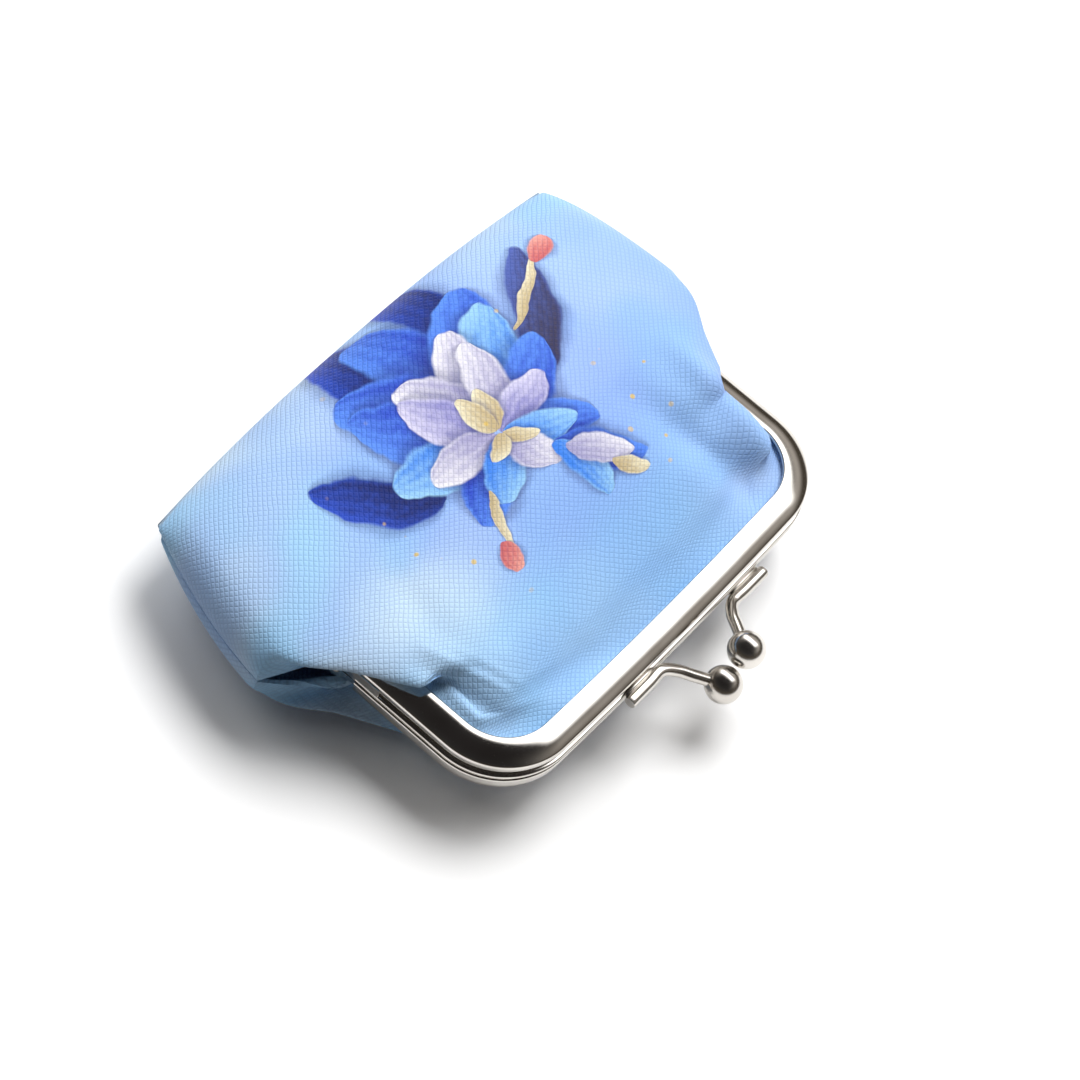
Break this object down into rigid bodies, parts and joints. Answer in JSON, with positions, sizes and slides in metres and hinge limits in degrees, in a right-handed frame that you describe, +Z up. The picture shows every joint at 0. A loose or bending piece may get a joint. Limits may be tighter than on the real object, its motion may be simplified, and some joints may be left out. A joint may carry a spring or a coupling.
{
  "type": "coin purse",
  "caption": "Kiss-lock coin purse: a hinged U-shaped nickel-plated frame with crossed ball clasp on sprung wires, and a rounded, flared imitation-leather bag with lining",
  "frame": {"origin": "the surface that the purse lies on, under the middle of the hinge axis; the flat rest_face on the back panel", "axes": "+X along the frame's top bar, +Y from the hinges to the bottom of the bag, +Z up out of the front panel"},
  "size_m": [0.1047, 0.086, 0.025],
  "materials": {
    "frame_metal": "nickel-plated folded steel sheet, polished",
    "rivet_metal": "nickel-plated steel rivet",
    "clasp_metal": "nickel-plated, mirror polished",
    "outer_leather": "printed imitation leather with a fine cross-hatched grain",
    "lining_cloth": "thin plain-woven lining",
    "paper_cord": "twisted paper",
    "sewing_thread": "polyester thread"
  },
  "bodies": {
    "back_half": {"back_frame": "frame_metal", "hinge_rivet_left": "rivet_metal", "hinge_rivet_right": "rivet_metal", "back_channel_cord": "paper_cord", "back_panel": "outer_leather", "back_lining": "lining_cloth", "front_panel_lower": "outer_leather", "front_lining_lower": "lining_cloth", "front_panel_fold": "outer_leather", "front_lining_fold": "lining_cloth", "left_seam_thread": "sewing_thread", "right_seam_thread": "sewing_thread", "bottom_seam_thread": "sewing_thread", "back_clasp_arm": "clasp_metal"},
    "front_half": {"front_frame": "frame_metal", "front_channel_cord": "paper_cord", "front_panel_upper": "outer_leather", "front_lining_upper": "lining_cloth", "front_clasp_arm": "clasp_metal"},
    "front_clasp": {"front_clasp_ball": "clasp_metal"},
    "back_clasp": {"back_clasp_ball": "clasp_metal"}
  },
  "joints": [
    {"name": "frame_open", "type": "hinge", "parent": "back_half", "child": "front_half", "pos_m": [0, 0, 0.012], "axis": [-1, 0, 0], "range_deg": [0, 90], "deforming": ["front_panel_fold", "front_lining_fold"]},
    {"name": "front_clasp_flex", "type": "hinge", "parent": "front_half", "child": "front_clasp", "pos_m": [-0.0069, -0.03763, 0.0135], "axis": [0, 0, -1], "range_deg": [0, 6], "stiffness_Nm_per_rad": 0.02, "deforming": ["front_clasp_arm"]},
    {"name": "back_clasp_flex", "type": "hinge", "parent": "back_half", "child": "back_clasp", "pos_m": [0.0129, -0.03757, 0.0105], "axis": [0, 0, 1], "range_deg": [0, 6], "stiffness_Nm_per_rad": 0.02, "deforming": ["back_clasp_arm"]}
  ]
}
